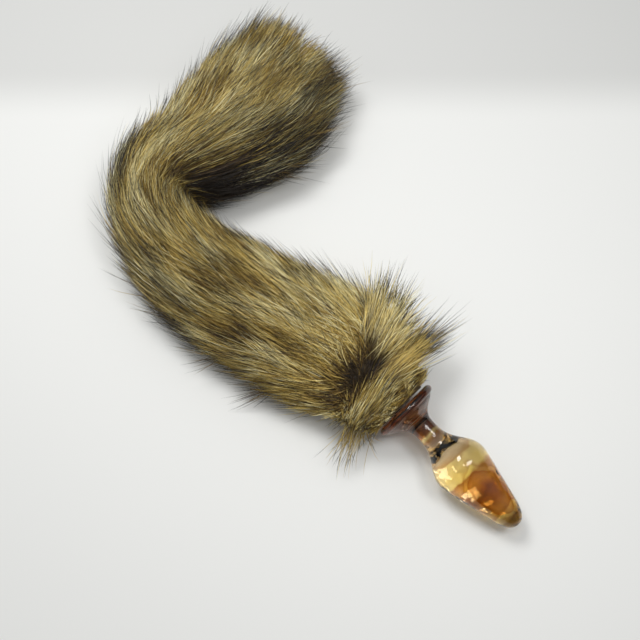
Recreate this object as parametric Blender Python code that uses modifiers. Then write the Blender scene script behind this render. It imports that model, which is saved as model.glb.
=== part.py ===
"""Costume animal tail: a long-haired fur tail on a flanged amber glass plug, lying on a table.

Metres, +Z up. The plug points to +X -Y with its flange rim and its bulb on the table. The tail
leaves the flange's back face towards -X +Y, bends round to the right and ends in a brush.
The origin is on the table, under the middle of the whole outline.

The glass is one turned solid. The fur is one solid too: a sewn backing tube, hollow inside, with
the deep pile fused to it as rows of overlapping locks. A plain hidden post joins the two.
"""

import math
import random
from collections import namedtuple

import bmesh
import bpy
import numpy as np
from mathutils import Matrix, Vector
from mathutils.geometry import interpolate_bezier

# Glass plug, measured along its axis from the flange's back face
PLUG_LENGTH = 0.0920
FLANGE_DIAMETER = 0.0400
RIM_THICKNESS = 0.0046
NECK_DIAMETER = 0.0132
NECK_START = 0.0170
NECK_LENGTH = 0.0055
BULB_DIAMETER = 0.0338
BULB_PLACE = 0.0475
NOSE_LENGTH = 0.0100
NOSE_DIAMETER = 0.0178
PLUG_STEPS = 32

# Hidden post, glued to the flange and into the tail's backing tube
POST_DIAMETER = 0.0120
POST_LENGTH = 0.0260
POST_SIDES = 24
CLEARANCE = 0.0003

# Fur tail: the backing's length, and the pile's outside width and height where it lies at its fullest
TAIL_LENGTH = 0.3300
TAIL_WIDTH = 0.0760
TAIL_HEIGHT = 0.0460
SPINE_HEIGHT = 0.0175
BACKING_BORE = 0.0140
ROOT_HEADING = 134.3
PILE_LENGTH = 0.0520
LOCK_WIDTH = 0.0215
LOCK_THICKNESS = 0.0085
ROW_SPACING = 0.0240

# Where the tail goes and how far its pile reaches. heading is the way the tail runs, in degrees
# from the root's own heading. right, left and top are the pile's reach from the spine, as shares
# of half the tail's width and of the height above the spine. dense is how much of that reach the
# underfur fills. lay is how far a lock runs along the tail, as a share of the pile's length:
# below zero it leans back towards the flange.
Section = namedtuple("Section", "share heading right left top dense lay")
SECTIONS = (
    Section(share=0.000, heading=0, right=0.46, left=0.46, top=0.60, dense=0.94, lay=-0.05),
    Section(share=0.025, heading=5, right=0.86, left=0.72, top=0.86, dense=0.84, lay=-0.14),
    Section(share=0.060, heading=14, right=1.36, left=1.10, top=1.10, dense=0.70, lay=-0.22),
    Section(share=0.100, heading=15, right=1.46, left=1.12, top=1.15, dense=0.68, lay=-0.04),
    Section(share=0.140, heading=15, right=1.34, left=1.02, top=1.10, dense=0.70, lay=0.30),
    Section(share=0.200, heading=14, right=1.10, left=0.96, top=1.03, dense=0.75, lay=0.64),
    Section(share=0.300, heading=12, right=1.02, left=1.00, top=1.00, dense=0.78, lay=0.82),
    Section(share=0.400, heading=10, right=0.98, left=0.98, top=1.00, dense=0.78, lay=0.84),
    Section(share=0.460, heading=2, right=0.90, left=0.96, top=0.98, dense=0.78, lay=0.84),
    Section(share=0.510, heading=-7, right=0.80, left=0.94, top=0.96, dense=0.78, lay=0.84),
    Section(share=0.560, heading=-16, right=0.74, left=0.90, top=0.96, dense=0.78, lay=0.84),
    Section(share=0.605, heading=-36, right=0.62, left=0.88, top=0.96, dense=0.78, lay=0.84),
    Section(share=0.650, heading=-64, right=0.66, left=0.92, top=0.98, dense=0.78, lay=0.84),
    Section(share=0.690, heading=-96, right=0.90, left=1.04, top=1.00, dense=0.78, lay=0.84),
    Section(share=0.760, heading=-97, right=1.14, left=1.14, top=1.04, dense=0.78, lay=0.84),
    Section(share=0.840, heading=-92, right=1.16, left=1.20, top=1.06, dense=0.78, lay=0.80),
    Section(share=0.920, heading=-85, right=1.02, left=1.20, top=1.02, dense=0.76, lay=0.74),
    Section(share=1.000, heading=-84, right=0.76, left=1.04, top=0.86, dense=0.74, lay=0.66),
)
SPINE_STEPS = 400
EASING = 0.04  # share of the length over which the table's values are rounded off
INNER_LIMIT = 0.92  # the pile inside a bend reaches at most this share of the bend's radius
SETTLE = 0.16  # share of the length over which the spine sinks from the flange to its own height

# The closed body of backing and dense underfur, below the locks
BODY_SIDES = 16
BODY_RINGS = 34
BODY_CLOSE = 0.90  # share of the length from which the body rounds off
TUBE_END = 0.90  # share of the tail's length where the hollow backing tube is sewn shut
TUBE_SIDES = 12
TUBE_RINGS = 26

# Locks stand in rows from the first row to the last, round the tail from one side of the table
# up over the top and down to the other. Angles are in degrees: 0 is right, 90 is up.
FIRST_ROW = 0.030
LAST_ROW = 0.960
ROW_CROWDING = 1.25  # above 1 the rows stand closer together near the root
LOWEST_LOCK = -34.0
HIGHEST_LOCK = 214.0

# One lock, from root to tip: spread is its width and rise its thickness, as shares of the
# largest, and out is how far its middle has come from inside the underfur to the pile's outside
Station = namedtuple("Station", "share spread rise out")
LOCK_STATIONS = (
    Station(share=0.00, spread=0.60, rise=0.80, out=0.00),
    Station(share=0.28, spread=0.96, rise=1.00, out=0.45),
    Station(share=0.54, spread=1.00, rise=0.90, out=0.72),
    Station(share=0.78, spread=0.68, rise=0.60, out=0.90),
    Station(share=1.00, spread=0.00, rise=0.00, out=1.00),
)
LOCK_ROOT = 0.72  # a lock's root, as a share of the underfur's reach
LOCK_SECTION = ((-1.0, -0.25), (0.0, 1.0), (1.0, -0.25), (0.0, -1.0))
RUFF_TAPER = 0.72  # how much more an upright lock narrows than one that lies along the tail
LOCK_OVERLAP = 1.35  # how many locks' widths stand side by side in one width of the row
SHORTEST_RUN = 0.45  # inside a bend the pile's path is at least this share of the spine's
AROUND_STEP = math.radians(2)

VOXEL = 0.0017  # the grain in which body and locks are fused
KEPT_FACES = 0.088  # share of the fused form's triangles that its shape needs

COLOURS = {
    "glass": ((0.86, 0.50, 0.16, 1.0), 0.05),
    "fur": ((0.27, 0.21, 0.09, 1.0), 0.85),
    "plastic": ((0.10, 0.09, 0.08, 1.0), 0.50),
}


# Scene and small helpers


def clear_scene():
    for obj in list(bpy.data.objects):
        bpy.data.objects.remove(obj, do_unlink=True)


def new_collection(name):
    collection = bpy.data.collections.new(name)
    bpy.context.scene.collection.children.link(collection)
    return collection


def new_material(name):
    colour, roughness = COLOURS[name]
    material = bpy.data.materials.new(name)
    material.use_nodes = True
    shader = material.node_tree.nodes["Principled BSDF"]
    shader.inputs["Base Color"].default_value = colour
    shader.inputs["Roughness"].default_value = roughness
    shader.inputs["Metallic"].default_value = 0.0
    return material


def new_object(name, mesh, collection):
    obj = bpy.data.objects.new(name, mesh)
    collection.objects.link(obj)
    return obj


def mesh_of_rings(name, rings, tip=None):
    """A closed mesh through rings of points, capped at the first and at the last or at a tip."""
    count = len(rings[0])
    mesh = bmesh.new()
    made = [[mesh.verts.new(point) for point in ring] for ring in rings]
    for low, high in zip(made, made[1:]):
        for i in range(count):
            j = (i + 1) % count
            mesh.faces.new((low[i], low[j], high[j], high[i]))
    mesh.faces.new(reversed(made[0]))
    if tip is None:
        mesh.faces.new(made[-1])
    else:
        end = mesh.verts.new(tip)
        for i in range(count):
            mesh.faces.new((made[-1][i], made[-1][(i + 1) % count], end))
    bmesh.ops.recalc_face_normals(mesh, faces=mesh.faces)
    data = bpy.data.meshes.new(name)
    mesh.to_mesh(data)
    mesh.free()
    return data


def add_boolean(obj, operation, other, solver="EXACT"):
    modifier = obj.modifiers.new(operation.lower(), "BOOLEAN")
    modifier.operation = operation
    modifier.solver = solver
    if isinstance(other, bpy.types.Collection):
        modifier.operand_type = "COLLECTION"
        modifier.collection = other
    else:
        modifier.object = other


def applied(obj, name, collection):
    """A plain mesh object with obj's modifiers applied."""
    bpy.context.view_layer.update()
    graph = bpy.context.evaluated_depsgraph_get()
    mesh = bpy.data.meshes.new_from_object(obj.evaluated_get(graph))
    made = new_object(name, mesh, collection)
    made.matrix_world = obj.matrix_world
    return made


def keep_main_shell(mesh):
    """Keeps the form's outside, without closed pockets of air between locks or tips cut off below."""
    work = bmesh.new()
    work.from_mesh(mesh)
    waiting = set(work.faces)
    shells = []
    while waiting:
        shell = []
        front = [waiting.pop()]
        while front:
            face = front.pop()
            shell.append(face)
            near = {other for edge in face.edges for other in edge.link_faces} & waiting
            waiting -= near
            front += near
        shells.append(shell)
    shells.sort(key=len)
    crumbs = [face for shell in shells[:-1] for face in shell]
    bmesh.ops.delete(work, geom=crumbs, context="FACES")
    work.to_mesh(mesh)
    work.free()


# Where the plug lies


def plug_tilt():
    """The plug's slope: its flange rim and its bulb both touch the table."""
    rim_place = RIM_THICKNESS / 2
    drop = (FLANGE_DIAMETER - BULB_DIAMETER) / 2
    return math.atan2(drop, BULB_PLACE - rim_place)


def plug_matrix(profile):
    """From the plug's own frame (+X towards its nose, back face at X = 0) to where it lies."""
    tilt = plug_tilt()
    lowest = min(-x * math.sin(tilt) - r * math.cos(tilt) for x, r in profile)
    turn = Matrix.Rotation(math.radians(ROOT_HEADING - 180), 4, "Z")
    return Matrix.Translation((0, 0, -lowest)) @ turn @ Matrix.Rotation(tilt, 4, "Y")


# Glass plug


def curve_points(start, start_handle, end_handle, end, count):
    knots = [Vector((*point, 0)) for point in (start, start_handle, end_handle, end)]
    return [(point.x, point.y) for point in interpolate_bezier(*knots, count)]


def plug_profile():
    """(distance along the axis, radius) from the nose's tip round to the back face's middle."""
    flange, neck, bulb = FLANGE_DIAMETER / 2, NECK_DIAMETER / 2, BULB_DIAMETER / 2
    edge = RIM_THICKNESS / 2
    neck_end = NECK_START + NECK_LENGTH
    nose_start = PLUG_LENGTH - NOSE_LENGTH
    nose = NOSE_DIAMETER / 2
    slope = (nose - bulb) / (nose_start - BULB_PLACE)
    round_over = (BULB_PLACE - neck_end) * 0.14
    taper_start = (BULB_PLACE + round_over, bulb + slope * round_over * 1.6)
    points = [(0.0, 0.0)]
    for i in range(7):
        angle = math.radians(180 - 30 * i)
        points.append((edge + edge * math.cos(angle), flange - edge + edge * math.sin(angle)))
    flare = NECK_START - RIM_THICKNESS
    points += curve_points(
        (RIM_THICKNESS, flange - edge),
        (RIM_THICKNESS + flare * 0.30, flange - edge - (flange - neck) * 0.22),
        (NECK_START - flare * 0.62, neck),
        (NECK_START, neck),
        8,
    )[1:]
    shoulder = BULB_PLACE - neck_end
    points += curve_points(
        (neck_end, neck),
        (neck_end + shoulder * 0.44, neck + (bulb - neck) * 0.06),
        (BULB_PLACE - shoulder * 0.42, bulb),
        (BULB_PLACE, bulb),
        9,
    )
    points.append(taper_start)
    points.append((nose_start, nose))
    points += curve_points(
        (nose_start, nose),
        (nose_start + NOSE_LENGTH * 0.52, nose * 0.80),
        (PLUG_LENGTH, nose * 0.58),
        (PLUG_LENGTH, 0.0),
        8,
    )[1:]
    return points[::-1]


def make_plug(collection, material):
    """One turned piece of glass, resting on its rim and its bulb."""
    profile = plug_profile()
    mesh = bpy.data.meshes.new("glass_plug")
    points = [(x, 0.0, r) for x, r in profile]
    edges = [(i, i + 1) for i in range(len(points) - 1)]
    mesh.from_pydata(points, edges, [])
    obj = new_object("glass_plug", mesh, collection)
    turned = obj.modifiers.new("turned", "SCREW")
    turned.axis = "X"
    turned.steps = turned.render_steps = PLUG_STEPS
    turned.use_merge_vertices = True
    turned.merge_threshold = 0.00001
    turned.use_smooth_shade = True
    obj.matrix_world = plug_matrix(profile)
    mesh.materials.append(material)
    return obj


# Spine of the tail


def eased_column(column):
    """The table's column at each step of the spine, linear between rows and then rounded off."""
    shares = np.linspace(0.0, 1.0, SPINE_STEPS + 1)
    rows = [row.share for row in SECTIONS]
    values = np.interp(shares, rows, [getattr(row, column) for row in SECTIONS])
    width = max(1, round(EASING * SPINE_STEPS))
    padded = np.concatenate([np.full(width, values[0]), values, np.full(width, values[-1])])
    kernel = np.hanning(2 * width + 3)[1:-1]
    return np.convolve(padded, kernel / kernel.sum(), mode="valid")


class Spine:
    """The line along the tail's middle, and the pile's reach around it."""

    def __init__(self, root, root_slope):
        self.shares = np.linspace(0.0, 1.0, SPINE_STEPS + 1)
        self.right = eased_column("right") * TAIL_WIDTH / 2
        self.left = eased_column("left") * TAIL_WIDTH / 2
        self.top = eased_column("top") * (TAIL_HEIGHT - SPINE_HEIGHT)
        self.dense = eased_column("dense")
        self.lay = eased_column("lay") * PILE_LENGTH
        self.heading = np.radians(ROOT_HEADING + eased_column("heading"))
        step = TAIL_LENGTH / SPINE_STEPS
        middle = (self.heading[1:] + self.heading[:-1]) / 2
        x = np.concatenate([[0.0], np.cumsum(np.cos(middle) * step)])
        y = np.concatenate([[0.0], np.cumsum(np.sin(middle) * step)])
        settled = np.clip(self.shares / SETTLE, 0.0, 1.0)
        ease = settled * settled * (3 - 2 * settled)
        leaving = root.z + self.shares * TAIL_LENGTH * math.tan(root_slope)
        z = leaving * (1 - ease) + SPINE_HEIGHT * ease
        self.points = np.stack([x + root.x, y + root.y, z], 1)
        self.turn = np.gradient(self.heading, self.shares) / TAIL_LENGTH

    def at(self, column, share):
        """A column's value, held at its end values beyond the spine's ends."""
        return float(np.interp(share, self.shares, column))

    def point(self, share):
        """A point of the spine, run on in a straight line beyond its ends."""
        inside = min(max(share, 0.0), 1.0)
        place = Vector(self.at(self.points[:, i], inside) for i in range(3))
        heading = self.at(self.heading, inside)
        beyond = (share - inside) * TAIL_LENGTH
        return place + Vector((math.cos(heading), math.sin(heading), 0)) * beyond

    def right_way(self, share):
        heading = self.at(self.heading, share)
        return Vector((math.sin(heading), -math.cos(heading), 0))

    def width(self, share, angle):
        """The pile's reach to the side that this angle is on."""
        return self.at(self.right if math.cos(angle) > 0 else self.left, share)

    def held_in(self, share, sideways):
        """sideways, to the right, kept short of the middle of a bend."""
        turn = self.at(self.turn, share)
        if sideways * turn >= 0 or abs(turn) < 1e-6:
            return sideways
        limit = INNER_LIMIT / abs(turn)
        return sideways / (1 + (abs(sideways) / limit) ** 4) ** 0.25

    def place(self, share, angle, reach):
        """The point at this share of the length, angle round the spine and share of the reach."""
        sideways = self.held_in(share, math.cos(angle) * self.width(share, angle) * reach)
        up = math.sin(angle) * self.at(self.top, share) * reach
        return self.point(share) + self.right_way(share) * sideways + Vector((0, 0, up))

    def run(self, share, angle, reach, distance):
        """The share reached by going this distance along the pile at this side of the tail."""
        sideways = math.cos(angle) * self.width(share, angle) * reach
        stretch = max(SHORTEST_RUN, 1 + self.at(self.turn, share) * sideways)
        return share + distance / (TAIL_LENGTH * stretch)


# Fur tail


def body_mesh(spine):
    """The backing and dense underfur: one ring of points at each section."""
    angles = [2 * math.pi * k / BODY_SIDES for k in range(BODY_SIDES)]
    rings = []
    for i in range(BODY_RINGS):
        share = i / (BODY_RINGS - 1)
        closing = max(0.0, (share - BODY_CLOSE) / (1.02 - BODY_CLOSE))
        reach = spine.at(spine.dense, share) * math.sqrt(1 - closing**2)
        rings.append([spine.place(share, angle, reach) for angle in angles])
    return mesh_of_rings("fur_body", rings)


def lock_mesh(spine, share, angle, scale, twist):
    """One tapering lock that starts in the underfur and ends in a point at the pile's outside."""
    lay = spine.at(spine.lay, share) * scale
    upright = max(0.0, 1 - abs(lay) / PILE_LENGTH / 0.8)
    width = LOCK_WIDTH * scale
    thickness = (LOCK_THICKNESS + (LOCK_WIDTH - LOCK_THICKNESS) * upright) * scale
    root = spine.at(spine.dense, share) * LOCK_ROOT
    middles = []
    arounds = []
    before = 0.0
    for station in LOCK_STATIONS:
        reach = root + (scale - root) * station.out
        share = spine.run(share, angle, reach, lay * (station.share - before))
        before = station.share
        turned = angle + twist * station.share
        middles.append(spine.place(share, turned, reach))
        beside = spine.place(share, turned + AROUND_STEP, reach)
        arounds.append((beside - middles[-1]).normalized())
    rings = []
    for i, station in enumerate(LOCK_STATIONS[:-1]):
        spread = station.spread * (1 - RUFF_TAPER * upright * station.share)
        along = (middles[i + 1] - middles[max(i - 1, 0)]).normalized()
        around = (arounds[i] - along * arounds[i].dot(along)).normalized()
        out = around.cross(along)
        half_width = around * (width / 2 * spread)
        half_rise = out * (thickness / 2 * spread * station.rise)
        rings.append([middles[i] + half_width * a + half_rise * b for a, b in LOCK_SECTION])
    return mesh_of_rings("lock", rings, middles[-1])


def lock_places():
    """(share, angle) of each lock's root: rows along the tail, every other row half a step on."""
    rows = max(4, round((LAST_ROW - FIRST_ROW) * TAIL_LENGTH / ROW_SPACING)) + 1
    lowest, highest = math.radians(LOWEST_LOCK), math.radians(HIGHEST_LOCK)
    half_round = math.pi * (TAIL_WIDTH + 2 * TAIL_HEIGHT - 2 * SPINE_HEIGHT) / 4
    columns = max(6, round(half_round * (highest - lowest) / math.pi / LOCK_WIDTH * LOCK_OVERLAP))
    for row in range(rows):
        share = FIRST_ROW + (LAST_ROW - FIRST_ROW) * (row / (rows - 1)) ** ROW_CROWDING
        for column in range(columns):
            yield share, lowest + (highest - lowest) * (column + 0.5 * (row % 2)) / (columns - 0.5)


def make_locks(spine, collection):
    chance = random.Random(11)
    for share, angle in lock_places():
        scale = chance.uniform(0.92, 1.04)
        twist = math.radians(chance.uniform(-9, 9))
        shifted = share + chance.uniform(-0.008, 0.008)
        turned = angle + math.radians(chance.uniform(-4, 4))
        mesh = lock_mesh(spine, shifted, turned, scale, twist)
        helper = new_object("lock", mesh, collection)
        hide(helper)


def hide(helper):
    helper.hide_render = True
    helper.display_type = "WIRE"


def tube_mesh(spine):
    """The inside of the sewn backing tube, from the post's end to where it is sewn shut."""
    radius = BACKING_BORE / 2
    start = (POST_LENGTH - BACKING_BORE / 4) / TAIL_LENGTH
    rings = []
    for i in range(TUBE_RINGS):
        share = start + (TUBE_END - start) * i / (TUBE_RINGS - 1)
        closing = max(0.0, (share - (TUBE_END - 0.03)) / 0.032)
        ring_radius = radius * math.sqrt(max(0.02, 1 - closing**2))
        side = spine.right_way(max(share, 0.0))
        centre = spine.point(share)
        ring = []
        for k in range(TUBE_SIDES):
            angle = 2 * math.pi * k / TUBE_SIDES
            ring.append(centre + (side * math.cos(angle) + Vector((0, 0, math.sin(angle)))) * ring_radius)
        rings.append(ring)
    return mesh_of_rings("tube_inside", rings)


def cylinder(name, radius, start, end, matrix, collection, sides=32):
    """A solid cylinder along the plug's axis between two distances."""
    mesh = bmesh.new()
    bmesh.ops.create_cone(
        mesh, cap_ends=True, segments=sides, radius1=radius, radius2=radius, depth=end - start
    )
    bmesh.ops.rotate(mesh, verts=mesh.verts, matrix=Matrix.Rotation(math.radians(90), 3, "Y"))
    bmesh.ops.translate(mesh, verts=mesh.verts, vec=((start + end) / 2, 0, 0))
    data = bpy.data.meshes.new(name)
    mesh.to_mesh(data)
    mesh.free()
    obj = new_object(name, data, collection)
    obj.matrix_world = matrix
    return obj


def table_block(collection):
    """What the pile is pressed flat against: everything below the table's level."""
    mesh = bmesh.new()
    bmesh.ops.create_cube(mesh, size=1.0)
    side = 3 * TAIL_LENGTH
    bmesh.ops.scale(mesh, verts=mesh.verts, vec=(side, side, TAIL_WIDTH))
    bmesh.ops.translate(mesh, verts=mesh.verts, vec=(0, 0, -TAIL_WIDTH / 2))
    data = bpy.data.meshes.new("table")
    mesh.to_mesh(data)
    mesh.free()
    block = new_object("table", data, collection)
    hide(block)
    return block


def make_fur(spine, plug, parts, helpers, material):
    """Body and locks fused, pressed flat on the table, hollowed, and cut clear of the flange."""
    body = new_object("fur_body", body_mesh(spine), helpers)
    hide(body)
    locks = new_collection("locks")
    make_locks(spine, locks)
    inside = new_object("tube_inside", tube_mesh(spine), helpers)
    hide(inside)
    keep_clear = cylinder(
        "flange_room",
        FLANGE_DIAMETER / 2 + CLEARANCE * 3,
        -CLEARANCE,
        PLUG_LENGTH,
        plug.matrix_world,
        helpers,
    )
    hide(keep_clear)
    post_room = cylinder(
        "post_room",
        POST_DIAMETER / 2 + CLEARANCE,
        -POST_LENGTH - CLEARANCE * 2,
        PLUG_LENGTH,
        plug.matrix_world,
        helpers,
        sides=POST_SIDES,
    )
    hide(post_room)
    add_boolean(body, "UNION", locks, solver="MANIFOLD")
    fused = body.modifiers.new("fused", "REMESH")
    fused.mode = "VOXEL"
    fused.voxel_size = VOXEL
    solid = applied(body, "fur_solid", helpers)
    hide(solid)
    keep_main_shell(solid.data)
    fewer = solid.modifiers.new("fewer", "DECIMATE")
    fewer.ratio = KEPT_FACES
    for cutter in (table_block(helpers), inside, post_room, keep_clear):
        add_boolean(solid, "DIFFERENCE", cutter)
    fur = applied(solid, "fur_tail", parts)
    keep_main_shell(fur.data)
    fur.data.materials.clear()
    fur.data.materials.append(material)
    return fur


def make_post(plug, parts, material):
    """The plain peg that is glued to the flange and holds the tail."""
    post = cylinder(
        "tail_post",
        POST_DIAMETER / 2,
        -CLEARANCE - POST_LENGTH,
        -CLEARANCE,
        plug.matrix_world,
        parts,
        sides=POST_SIDES,
    )
    post.data.materials.append(material)
    return post


# Assembly


def move_to_middle(objects):
    """Hangs the parts on one empty and sets the middle of their outline over the origin."""
    bpy.context.view_layer.update()
    graph = bpy.context.evaluated_depsgraph_get()
    corners = []
    for obj in objects:
        evaluated = obj.evaluated_get(graph)
        mesh = evaluated.to_mesh()
        corners += [evaluated.matrix_world @ vertex.co for vertex in mesh.vertices]
        evaluated.to_mesh_clear()
    low = [min(point[i] for point in corners) for i in range(2)]
    high = [max(point[i] for point in corners) for i in range(2)]
    stand = bpy.data.objects.new("costume_tail", None)
    objects[0].users_collection[0].objects.link(stand)
    for obj in objects:
        world = obj.matrix_world.copy()
        obj.parent = stand
        obj.matrix_world = world
    stand.location = (-(low[0] + high[0]) / 2, -(low[1] + high[1]) / 2, 0)


def main():
    clear_scene()
    parts = new_collection("costume_animal_tail")
    helpers = new_collection("cutters")
    plug = make_plug(parts, new_material("glass"))
    bpy.context.view_layer.update()
    root = plug.matrix_world @ Vector((-CLEARANCE, 0, 0))
    spine = Spine(root, plug_tilt())
    fur = make_fur(spine, plug, parts, helpers, new_material("fur"))
    post = make_post(plug, parts, new_material("plastic"))
    move_to_middle([plug, post, fur])


main()
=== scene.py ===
"""Costume animal tail: its fur, glass and studio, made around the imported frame.

Everything is in metres in the frame's own axes. The tail's middle line, with the reach of its pile
to each side, is worked out from one table. Each hair is a thin closed strand that starts in the
underfur, runs along the tail and ends in a point at the pile's outside. Strands share guides, so
that their tips gather in tufts.
"""

import math

import bpy
import numpy as np
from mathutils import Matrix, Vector


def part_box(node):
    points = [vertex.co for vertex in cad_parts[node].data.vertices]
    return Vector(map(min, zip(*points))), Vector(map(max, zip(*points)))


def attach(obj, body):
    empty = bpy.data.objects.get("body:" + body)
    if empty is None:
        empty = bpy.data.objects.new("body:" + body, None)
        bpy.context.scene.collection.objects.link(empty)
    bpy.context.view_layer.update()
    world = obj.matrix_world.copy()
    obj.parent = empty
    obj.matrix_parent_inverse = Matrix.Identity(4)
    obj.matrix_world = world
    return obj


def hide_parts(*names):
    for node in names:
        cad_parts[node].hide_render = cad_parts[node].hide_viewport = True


bl_info = {
    "name": "Costume Animal Tail",
    "version": (1, 0, 0),
    "blender": (4, 5, 0),
    "location": "3D View > Sidebar > Costume Tail",
    "description": "Makes a long-haired costume tail on a glass plug, and its studio",
    "category": "Add Mesh",
}

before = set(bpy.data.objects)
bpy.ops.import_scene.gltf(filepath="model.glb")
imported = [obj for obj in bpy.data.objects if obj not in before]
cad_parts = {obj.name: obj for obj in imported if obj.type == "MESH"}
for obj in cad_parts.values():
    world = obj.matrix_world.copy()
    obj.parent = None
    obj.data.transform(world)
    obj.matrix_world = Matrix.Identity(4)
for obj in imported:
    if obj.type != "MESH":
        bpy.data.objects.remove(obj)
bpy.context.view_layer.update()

# Values that the CAD part has too
POST_LENGTH = 0.0260
CLEARANCE = 0.0003
ROOT_HEADING = 134.3
FLANGE_RADIUS = 0.0200
BULB_RADIUS = 0.0169
BULB_PLACE = 0.0475
RIM_THICKNESS = 0.0046
PLUG_LENGTH = 0.0920

# The scene's own values
PLUG_SIDES = 96
TABLE_SIZE = 5.0

# The tail's course and the reach of its pile, row by row. heading is in degrees from the root's
# own. right, left and top are shares of half the width and of the height above the middle line,
# and dense is the share of them that the underfur fills.
COLUMNS = ("share", "heading", "right", "left", "top", "dense")
SECTIONS = np.array(
    (
        (0.000, 0, 0.46, 0.46, 0.60, 0.94),
        (0.025, 5, 0.62, 0.62, 0.80, 0.84),
        (0.050, 12, 0.90, 0.92, 0.98, 0.74),
        (0.075, 14, 1.24, 1.06, 1.10, 0.70),
        (0.100, 15, 1.42, 1.10, 1.14, 0.68),
        (0.140, 15, 1.44, 1.04, 1.10, 0.70),
        (0.200, 14, 1.34, 0.98, 1.03, 0.72),
        (0.300, 12, 1.12, 1.00, 1.00, 0.77),
        (0.400, 10, 0.98, 0.98, 1.00, 0.78),
        (0.460, 2, 0.86, 0.92, 0.98, 0.78),
        (0.510, -7, 0.76, 0.88, 0.96, 0.78),
        (0.560, -16, 0.70, 0.84, 0.96, 0.78),
        (0.605, -36, 0.60, 0.84, 0.96, 0.78),
        (0.650, -64, 0.62, 0.88, 0.98, 0.78),
        (0.690, -96, 0.84, 0.98, 1.00, 0.78),
        (0.760, -97, 1.08, 1.10, 1.04, 0.76),
        (0.840, -92, 1.22, 1.24, 1.06, 0.70),
        (0.920, -85, 1.24, 1.28, 1.02, 0.66),
        (1.000, -84, 1.08, 1.16, 0.90, 0.62),
    )
)
# How the hairs lie: lay is how far they run along the tail, as a share of the pile's length, sweep
# is how far they turn round the tail from root to tip in degrees (below zero to the right, over the
# top), and length is a share of the pile's reach.
HAIR_COLUMNS = ("share", "lay", "sweep", "length")
HAIR_COURSE = np.array(
    (
        (0.000, -0.02, -8, 1.26),
        (0.016, -0.03, -20, 1.16),
        (0.034, -0.04, -60, 1.04),
        (0.052, -0.04, -78, 0.94),
        (0.068, 0.00, -50, 0.86),
        (0.080, 0.06, -10, 0.74),
        (0.092, 0.20, 0, 0.80),
        (0.110, 0.44, 0, 0.98),
        (0.140, 0.62, 0, 1.02),
        (0.180, 0.78, 0, 1.00),
        (0.260, 0.86, 0, 1.00),
        (0.900, 0.84, 0, 1.00),
        (1.000, 0.80, 0, 1.00),
    )
)
STEPS = 400  # points worked out on the middle line
EASING = 0.04  # shares of the length over which the table's rows are averaged
INNER_LIMIT = 0.92  # how far a hair reaches into a bend, as a share of the bend's radius
END_FROM = 0.96  # hairs past this share are gathered in towards the tail's end
END_EASE = 0.25
END_ROUND = 0.24
SETTLE = 0.16  # share of the length over which the line settles to its own height
SHORTEST_RUN = 0.45  # least share of a step that is left on the inside of a bend
TABLE_GAP = 0.0006  # least height of a hair's middle above the table
PRESSED = 0.0012  # how softly the pile is pressed up from the table
SPREAD_RADIUS = 0.034  # turns a hair's spread across the tail into an angle
FLANGE_GAP = 0.0008  # between the flange's back and the hairs nearest to it

# Where each zone of fur has its roots, as shares of the tail's length
ZONES = {
    "ruff_fur": (0.004, 0.150),
    "lower_fur": (0.150, 0.380),
    "bend_fur": (0.380, 0.620),
    "upper_fur": (0.620, 0.830),
    "brush_fur": (0.830, 0.975),
}


RUFF_DENSITY = 1.5  # strands in the ruff for one in the rest of the pile


# Sizes and colours that a user would change


class TailSizes(bpy.types.PropertyGroup):
    length: bpy.props.FloatProperty(
        name="Length", description="Backing, from the flange to its end", default=0.330, unit="LENGTH"
    )
    width: bpy.props.FloatProperty(
        name="Width", description="Pile's outside width", default=0.076, unit="LENGTH"
    )
    height: bpy.props.FloatProperty(
        name="Height", description="Pile's height above the table", default=0.046, unit="LENGTH"
    )
    line_height: bpy.props.FloatProperty(
        name="Line height", description="Middle line above the table", default=0.0175, unit="LENGTH"
    )
    pile: bpy.props.FloatProperty(
        name="Pile", description="Length of the pile", default=0.052, unit="LENGTH"
    )
    strand: bpy.props.FloatProperty(
        name="Strand", description="Thickness of a drawn strand", default=0.00046, unit="LENGTH"
    )
    strands: bpy.props.IntProperty(
        name="Strands", description="Strands of the main pile", default=38500
    )
    guards: bpy.props.IntProperty(
        name="Guard hairs", description="Long dark-tipped hairs over the pile", default=8900
    )


class TailColours(bpy.types.PropertyGroup):
    root: bpy.props.FloatVectorProperty(
        name="Root", description="Underfur", subtype="COLOR", default=(0.125, 0.085, 0.036)
    )
    tip: bpy.props.FloatVectorProperty(
        name="Tip", description="Hair tips", subtype="COLOR", default=(0.012, 0.009, 0.006)
    )
    glass: bpy.props.FloatVectorProperty(
        name="Glass", description="Amber glass", subtype="COLOR", default=(0.985, 0.78, 0.36)
    )


class StudioSizes(bpy.types.PropertyGroup):
    elevation: bpy.props.FloatProperty(
        name="Elevation",
        description="Camera above the table",
        default=math.radians(75),
        subtype="ANGLE",
    )
    distance: bpy.props.FloatProperty(
        name="Distance", description="Camera to the table", default=0.483, unit="LENGTH"
    )
    lens: bpy.props.FloatProperty(
        name="Lens", description="Focal length", default=43.45, unit="CAMERA"
    )
    floor: bpy.props.FloatVectorProperty(
        name="Floor", description="Table colour", subtype="COLOR", default=(0.80, 0.805, 0.785)
    )


# Meshes


def outward(points, faces):
    """The faces, all turned over if the volume they enclose comes out below zero."""
    a, b, c = (points[faces[:, i]] for i in range(3))
    volume = np.einsum("ij,ij->i", a, np.cross(b, c)).sum()
    return faces if volume > 0 else faces[:, ::-1]


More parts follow.
